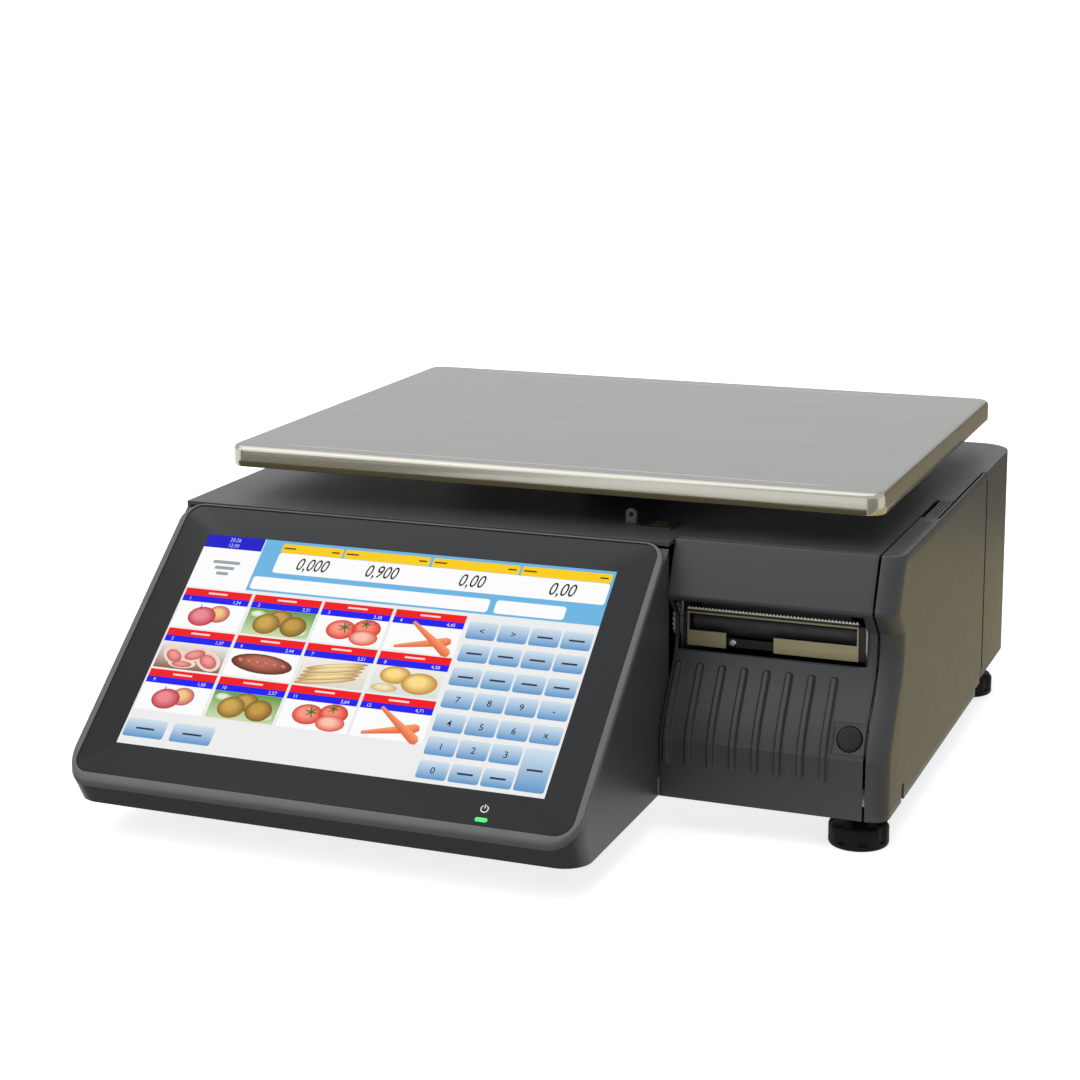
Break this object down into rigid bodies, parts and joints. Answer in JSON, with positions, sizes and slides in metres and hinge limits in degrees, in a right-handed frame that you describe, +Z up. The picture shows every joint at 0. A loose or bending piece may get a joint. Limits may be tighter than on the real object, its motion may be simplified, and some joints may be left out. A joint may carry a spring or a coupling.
{
  "type": "retail price scale",
  "caption": "Counter-top retail price scale with a tilted touch display, a label printer behind a side door and a lift-off stainless weighing pan on a load cell.",
  "frame": {"origin": "middle of the footprint at the surface that the feet stand on", "axes": "+Z up, -Y towards the display and its user, +X towards the label printer"},
  "size_m": [0.442, 0.4814, 0.195],
  "materials": {
    "zinc_sheet": "satin zinc-coated sheet",
    "dark_plastic": "fine-textured dark grey moulding",
    "bezel_plastic": "satin grey rim",
    "black_plastic": "matt black moulding",
    "screen_glass": "dark cover glass with a lit screen",
    "led_green": "lit green lens",
    "black_rubber": "matt black",
    "platen_rubber": "ground dark rubber",
    "level_liquid": "clear vial with tinted liquid",
    "cell_aluminium": "machined",
    "cast_spider": "black coated casting",
    "stainless": "satin stainless top with a brighter rim",
    "steel_pin": "bright steel",
    "green_plastic": "moulded green",
    "brass_part": "turned brass",
    "white_plastic": "natural white moulding",
    "motor_black": "black",
    "tear_steel": "bright toothed strip",
    "guide_plate": "yellow-passivated plate",
    "board_green": "coated circuit board",
    "port_metal": "plated socket shell"
  },
  "bodies": {
    "casing": {"base_chassis": "zinc_sheet", "display_housing": "dark_plastic", "main_cover": "dark_plastic", "rear_panel": "zinc_sheet", "door_hinge_pins": "steel_pin", "printer_front_cover": "dark_plastic", "button_spring": "steel_pin", "touch_glass": "screen_glass", "display_bezel": "bezel_plastic", "lcd_module": "zinc_sheet", "lcd_bracket": "zinc_sheet", "status_led_lens": "led_green", "foot_lock_nuts": "steel_pin", "level_housing": "black_plastic", "level_vial": "level_liquid", "seal_lug": "dark_plastic", "load_cell": "cell_aluminium", "cell_base_block": "cell_aluminium", "overload_stops": "steel_pin", "printer_left_plate": "zinc_sheet", "printer_right_plate": "zinc_sheet", "head_pivot_pin": "steel_pin", "platen_bushes": "brass_part", "idler_pin": "steel_pin", "stepper_motor": "motor_black", "motor_plate": "zinc_sheet", "tear_bar": "tear_steel", "exit_guide": "guide_plate", "guide_screw": "steel_pin", "supply_spindle": "steel_pin", "rewind_bushes": "brass_part", "main_board": "board_green", "power_supply": "zinc_sheet", "wireless_module": "board_green", "speaker": "black_plastic", "mains_inlet": "black_plastic", "network_port": "port_metal", "frame_stays": "steel_pin", "cover_screws": "steel_pin"},
    "pan_carrier": {"load_bracket": "cell_aluminium", "pan_spider": "cast_spider", "pan_pads": "black_rubber"},
    "pan": {"weighing_pan": "stainless"},
    "side_door": {"side_door": "dark_plastic"},
    "door_latch": {"door_latch": "dark_plastic"},
    "push_button": {"release_button": "black_plastic"},
    "print_head": {"print_head": "cell_aluminium", "head_holder": "green_plastic"},
    "platen": {"platen_roller": "platen_rubber", "platen_shaft": "steel_pin", "platen_gear": "white_plastic"},
    "idler": {"idler_gear": "white_plastic"},
    "motor_rotor": {"motor_pinion": "brass_part"},
    "rewinder": {"rewind_spool": "black_plastic", "rewind_gear": "white_plastic"},
    "supply_spool": {"supply_spool": "black_plastic"},
    "foot_front_left": {"foot_front_left": "black_rubber"},
    "foot_front_right": {"foot_front_right": "black_rubber"},
    "foot_rear_left": {"foot_rear_left": "black_rubber"},
    "foot_rear_right": {"foot_rear_right": "black_rubber"}
  },
  "joints": [
    {"name": "load_cell_flex", "type": "slide", "parent": "casing", "child": "pan_carrier", "axis": [0, 0, -1], "range_m": [0, 0.0008], "stiffness_N_per_m": 200000, "springref_m": -0.00008, "deforming": ["load_cell"]},
    {"name": "pan_lift", "type": "slide", "parent": "pan_carrier", "child": "pan", "axis": [0, 0, 1], "range_m": [0, 0.05]},
    {"name": "side_door_hinge", "type": "hinge", "parent": "casing", "child": "side_door", "pos_m": [0.218, 0.15075, 0.08], "axis": [0, 0, 1], "range_deg": [0, 90]},
    {"name": "door_latch_slide", "type": "slide", "parent": "side_door", "child": "door_latch", "axis": [-1, 0, 0], "range_m": [0, 0.0018], "stiffness_N_per_m": 300, "springref_m": -0.002},
    {"name": "release_button_press", "type": "slide", "parent": "casing", "child": "push_button", "axis": [0, 0.8965, -0.4431], "range_m": [0, 0.002], "stiffness_N_per_m": 400, "springref_m": -0.002, "deforming": ["button_spring"]},
    {"name": "print_head_lift", "type": "hinge", "parent": "casing", "child": "print_head", "pos_m": [0.1455, -0.03079, 0.141], "axis": [-1, 0, 0], "range_deg": [0, 15]},
    {"name": "platen_spin", "type": "hinge", "parent": "casing", "child": "platen", "pos_m": [0.1455, -0.06479, 0.113], "axis": [1, 0, 0], "continuous": true},
    {"name": "idler_spin", "type": "hinge", "parent": "casing", "child": "idler", "pos_m": [0.0915, -0.044, 0.101], "axis": [1, 0, 0], "continuous": true},
    {"name": "motor_spin", "type": "hinge", "parent": "casing", "child": "motor_rotor", "pos_m": [0.0915, -0.02791, 0.1145], "axis": [1, 0, 0], "continuous": true},
    {"name": "rewind_spin", "type": "hinge", "parent": "casing", "child": "rewinder", "pos_m": [0.1455, -0.02279, 0.07572], "axis": [1, 0, 0], "continuous": true},
    {"name": "supply_spin", "type": "hinge", "parent": "casing", "child": "supply_spool", "pos_m": [0.1455, 0.07021, 0.102], "axis": [1, 0, 0], "continuous": true},
    {"name": "foot_front_left_screw_out", "type": "slide", "parent": "casing", "child": "foot_front_left", "axis": [0, 0, -1], "range_m": [0, 0.006]},
    {"name": "foot_front_right_screw_out", "type": "slide", "parent": "casing", "child": "foot_front_right", "axis": [0, 0, -1], "range_m": [0, 0.006]},
    {"name": "foot_rear_left_screw_out", "type": "slide", "parent": "casing", "child": "foot_rear_left", "axis": [0, 0, -1], "range_m": [0, 0.006]},
    {"name": "foot_rear_right_screw_out", "type": "slide", "parent": "casing", "child": "foot_rear_right", "axis": [0, 0, -1], "range_m": [0, 0.006]}
  ],
  "couplings": [
    {"joint": "idler_spin", "follows": "platen_spin", "ratio": -0.6},
    {"joint": "motor_spin", "follows": "platen_spin", "ratio": 1.5},
    {"joint": "rewind_spin", "follows": "platen_spin", "ratio": 0.5}
  ]
}
